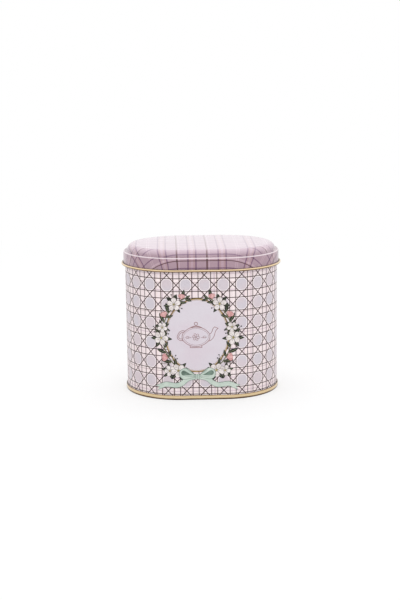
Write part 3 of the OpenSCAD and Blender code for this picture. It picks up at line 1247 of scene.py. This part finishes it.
def blossom(drawing, middle, reach, heading):
    """Five pale petals round a yellow-green middle with dark stamens."""
    for step in range(5):
        facing = heading + fifth * step
        moves = petal_moves(reach, petal_spread)
        drawing.outlined("petal", "petal_line", petal_edge, middle, facing + petal_spread, moves)
        crease_start = turned_spot(middle, facing, reach * crease_from)
        drawing.stroke("petal_line", crease_line, crease_start, facing, [(reach * crease_share, 0, 0)])
    dot(drawing, "centre", middle, reach * middle_share)
    for step in range(5):
        stamen = turned_spot(middle, heading + fifth / 2 + fifth * step, reach * stamen_at)
        dot(drawing, "deep_leaf", stamen, reach * stamen_share)


def bud(drawing, root, heading, reach):
    """A pink bud of three petals in two green sepals."""
    for lean in (40, -40):
        leaf(drawing, root, heading + lean, reach * sepal_share, copysign(1, lean))
    for lean in (24, -24, 0):
        facing = heading + lean + bud_spread
        drawing.outlined("bud", "bud_line", petal_edge, root, facing, petal_moves(reach, bud_spread))


def sprig(drawing, root, heading, reach):
    """A thin stalk with three dark berries."""
    for lean, share in ((0, 1), (32, side_berry_share), (-32, side_berry_share)):
        drawing.stroke("stem", thin_line, root, heading + lean, [(reach * share, 0, 0)])
        dot(drawing, "deep_leaf", turned_spot(root, heading + lean, reach * share), berry)


def traced(start, heading, moves):
    """The points of a line in millimetres, and the heading of the edge that leaves each."""
    draft = bmesh.new()
    points = [(vert.co.x / mm, vert.co.z / mm) for vert in pen(draft, start, heading, moves)]
    draft.free()
    return points, [degrees(atan2(b[1] - a[1], b[0] - a[0])) for a, b in zip(points, points[1:])]


def tail(drawing, start, heading, moves, width):
    """A length of mint ribbon with dark edges and a swallow's tail cut in its end."""
    points, headings = traced(start, heading, moves)
    drawing.stroke("mint", width, start, heading, moves)
    depth = width * notch_share
    cut = degrees(atan2(depth, width / 2))
    for side in (1, -1):
        corner = turned_spot(points[-1], headings[-1], 0, side * width / 2)
        drawing.fill("mint", corner, headings[-1], [
            (depth, 0, -side * (90 + cut)), (hypot(depth, width / 2), 0, -side * (180 - cut)),
            (width / 2, 0, 0),
        ])
        edge_start = turned_spot(start, heading, 0, side * width / 2)
        shifted = [(run, bend - side * copysign(width / 2, turn), turn) for run, bend, turn in moves[:-1]]
        shifted.append((moves[-1][0] + depth, 0, 0))
        drawing.stroke("mint_fold", fold_line, edge_start, heading, shifted)


def bow(drawing, knot):
    """Half of a mint bow: a tail, a loop with its dark inside, and half the knot."""
    tail(drawing, knot, -8, [(4, 10, -34), (2, 9, 52), (3, 8, -36), (3.4, 0, 0)], 3.6)
    for colour, root, facing, reach, spread in (
        ("mint", knot, 14, 14, 27), ("mint_fold", turned_spot(knot, 16, 4.6), 16, 8, 17),
    ):
        moves = petal_moves(reach, spread)
        drawing.outlined(colour, "mint_fold", ribbon_edge, root, facing + spread, moves)
    for heading, reach in ((2, 5), (20, 3.6), (36, 5)):
        fold_start = turned_spot(knot, heading, 1.5)
        drawing.stroke("mint_fold", fold_line, fold_start, heading, [(reach, 30, 6)])
    drawing.fill("mint", (knot[0] - 0.1, knot[1] - 2), 0, [(0.7, 1.2, 90), (1.6, 1.2, 90), (0.7, 0, 0)])
    drawing.stroke("mint_fold", ribbon_edge, (knot[0] + 1.2, knot[1] - 1.7), 72, [(0, 5.2, 36)])


print("a petal of 5 mm:", petal_moves(5, petal_spread))

# %% [markdown]
# ## Composing the wreath
#
# Only the right half is drawn, and the mirror makes the left. The stem follows an oval a little
# larger than the label, and its vertices are the places where leaves leave it, out and in by turns.
# Blossoms, buds and sprigs are then set at shares of the way up. The bow comes last, over the
# crossing of the stems.

# %% Compose the wreath
stem_outset, stem_short = 2.4, 18
stem_width, stem_light, light_drop = 0.75, 0.18, 0.15
outer_leaf, inner_leaf = (-48, 8.2, -1), (42, 6, 1)
tip_lean, tip_leaf = -6, 4.6
sprig_spots = (0.3, 0.58, 0.82)
bud_spots = ((0.36, 5), (0.7, 4.6), (0.9, 4.2))
blossom_spots = ((0.2, 5.4, 1.5), (0.27, 4.3, 6), (0.5, 5.6, 1), (0.62, 4, 0.5), (0.83, 5.2, 1))
under_leaves, under_leaf_share = (-150, -95, -35, 30, 95), 1.55
start, half_oval = oval(label_width + stem_outset, label_height + stem_outset, label_bend + stem_outset, 2)
stem_moves = half_oval[:2] + [(0, half_oval[2][1], half_oval[2][2] - stem_short)]
stem_line, headings = traced(start, 0, stem_moves)
stems, leaves, sprigs = Drawing(0.045), Drawing(0.055, 15), Drawing(0.13, 6)
buds, blossoms, ribbon = Drawing(0.16, 12), Drawing(0.22, 21), Drawing(0.33)
stems.stroke("stem", stem_width, start, 0, stem_moves)
stems.stroke("vein", stem_light, (start[0], start[1] - light_drop), 0, stem_moves)


def stem_at(share):
    """A point of the stem and its heading, at a share of the way up."""
    spot = min(round(share * len(headings)), len(headings) - 1)
    return stem_line[spot], headings[spot]


for number, (point, heading) in enumerate(zip(stem_line, headings)):
    lean, length, side = outer_leaf if number % 2 else inner_leaf
    if number > 1:
        leaf(leaves, point, heading + lean, length, side)
tip, heading = stem_at(1)
leaf(leaves, turned_spot(tip, heading, 0.5), heading + tip_lean, tip_leaf, 1)
for share in sprig_spots:
    point, heading = stem_at(share)
    sprig(sprigs, turned_spot(point, heading - 90, 1), heading - 64, 7.5)
    sprig(sprigs, turned_spot(point, heading + 90, 1), heading + 60, 5)
for share, reach in bud_spots:
    point, heading = stem_at(share)
    bud(buds, turned_spot(point, heading - 90, 0.5), heading - 55, reach)
for share, reach, outset in blossom_spots:
    point, heading = stem_at(share)
    root = turned_spot(point, heading - 90, outset)
    for lean in under_leaves:
        leaf(leaves, root, heading + lean, reach * under_leaf_share, copysign(1, lean))
    blossom(blossoms, root, reach, heading + 20)
bow(ribbon, (0, start[1] - 1.5))
put_on_wall("wreath", wreath_middle, [stems, leaves, sprigs, buds, blossoms, ribbon], mirrored=True)

# %% [markdown]
# ## The studio
#
# Small shiny things are photographed in a tent of white cloth: light comes evenly from everywhere,
# so the lacquer shows no hard spots. The world stands for the tent. It lights the caddy a little
# under full white, but shows as full white to the eye and in mirror reflections: the Light Path
# node tells those rays apart. The same mask lets the floor's paper fade into the white further
# out, and still keep the caddy's shadow near it.

# %% A white that only the eye sees, and the tent
def white_for_camera(tree):
    """1 for rays that come from the camera, or from it by a mirror or glass."""
    path = place(tree, "LightPath")
    seen = Amount(path.outputs["Is Camera Ray"]).math("MAXIMUM", Amount(path.outputs["Is Glossy Ray"]))
    return seen.math("MAXIMUM", Amount(path.outputs["Is Transmission Ray"]))


white = ink(255, 255, 255)
world = bpy.data.worlds.new("studio")
bpy.context.scene.world = world
world.use_nodes = True
tent_strength = 0.92
backdrop = world.node_tree.nodes["Background"]
backdrop.inputs["Color"].default_value = white
feed(backdrop.inputs["Strength"], white_for_camera(world.node_tree) * (1 - tent_strength) + tent_strength)
print("tent lights at", tent_strength)

# %% The paper floor
floor_size, floor_fade, fade_reach, fade_softness = 6, 0.6, 0.5, 0.3
floor_mesh = bmesh.new()
bmesh.ops.create_grid(floor_mesh, x_segments=1, y_segments=1, size=floor_size)
floor_paper, tree, surface, _ = new_finish("floor_paper", Roughness=0.9)
feed(surface["Base Color"], ink(250, 250, 250))
glow = place(tree, "Emission", {"Color": white})
paper = tree.nodes["Principled BSDF"].outputs[0]
distance = place(tree, "VectorMath", {0: on_piece(tree)}, operation="LENGTH").outputs["Value"]
near = Amount(distance).under(fade_reach, fade_softness)
fade = near * (floor_fade - 1) + 1
blend = place(tree, "MixShader", {0: white_for_camera(tree) * fade, 1: paper, 2: glow.outputs[0]})
feed(tree.nodes["Material Output"].inputs[0], blend.outputs[0])
floor = finish_piece(floor_mesh, "floor", floor_paper)
floor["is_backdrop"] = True
print("floor is", 2 * floor_size, "m wide")

# %% [markdown]
# ## Two soft boxes
#
# In a tent alone everything looks flat. A soft box overhead makes the crown of the lid brighter
# than its sides, and one low in front lifts the wall. Both are large for a thing this small, which
# keeps their shadows soft. They stand outside the tent, behind its cloth, so the lacquer mirrors
# the white cloth and not the lamps: glossy rays don't see them.

# %% Soft boxes
def softbox(name, place_at, aim_at, size, power):
    """A square area lamp turned towards a point."""
    lamp = bpy.data.lights.new(name, "AREA")
    lamp.size = size
    lamp.energy = power
    holder = bpy.data.objects.new(name, lamp)
    holder.location = place_at
    holder.rotation_euler = (Vector(aim_at) - Vector(place_at)).to_track_quat("-Z", "Y").to_euler()
    holder.visible_glossy = False
    bpy.context.scene.collection.objects.link(holder)


top_from, front_from, lamp_aim = (0, 0.2, 1.3), (0.3, -1.3, 0.5), (0, 0, 0.05)
box_size, top_power, front_power = 0.9, 3.4, 2.5
softbox("top_softbox", top_from, lamp_aim, box_size, top_power)
softbox("front_softbox", front_from, lamp_aim, box_size, front_power)
bpy.context.scene.view_settings.view_transform = "Standard"
print("lamps:", sorted(lamp.name for lamp in bpy.data.lights))

# %% [markdown]
# ## Measure
#
# The dressed caddy is meant to fit its frame, so the two boxes are written down side by side.

# %% Sizes of the finished model
new_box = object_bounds()
for label, box in (("CAD box", cad_box), ("dressed", new_box)):
    print(label, [in_mm(*corner) for corner in box], "mm")
